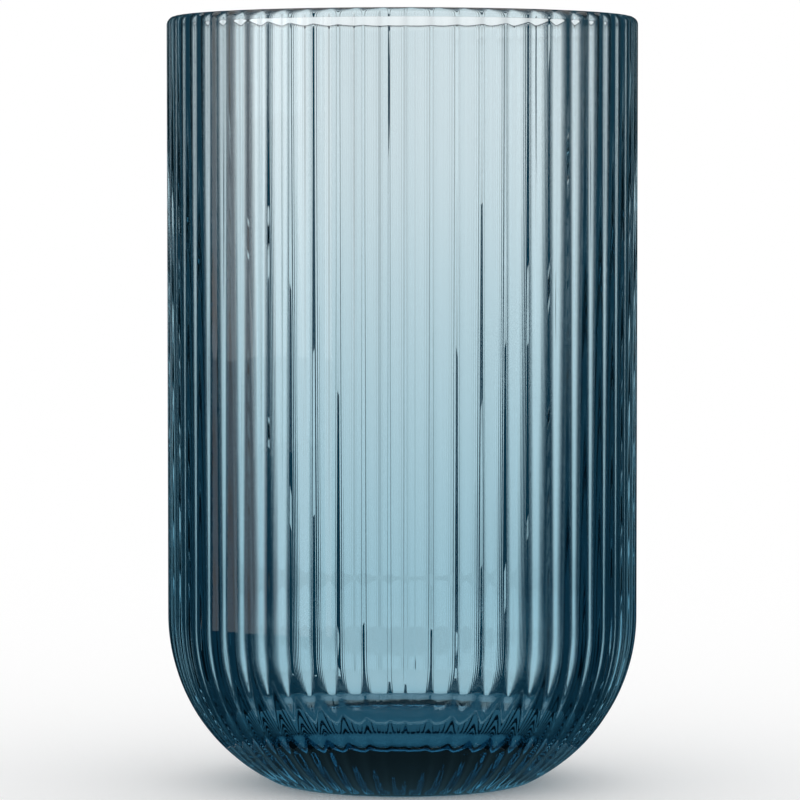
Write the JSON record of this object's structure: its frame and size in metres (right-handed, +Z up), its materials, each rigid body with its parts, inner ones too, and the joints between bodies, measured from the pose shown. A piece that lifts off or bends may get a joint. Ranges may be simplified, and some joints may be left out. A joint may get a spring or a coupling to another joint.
{
  "type": "ribbed glass vase",
  "caption": "Straight round vase of tinted pressed glass with 60 full-height ribs, a round lip, a large curved heel and a thick floor.",
  "frame": {"origin": "centre of the resting face, on the vase's axis", "axes": "+Z up the vase's axis towards the mouth; a rib crest lies on +X"},
  "size_m": [0.0922, 0.0922, 0.15],
  "materials": {
    "blue_glass": "gloss, tinted in the mass"
  },
  "bodies": {
    "root": {"rim": "blue_glass", "ribbed_wall": "blue_glass", "heel": "blue_glass", "base": "blue_glass"}
  },
  "joints": []
}
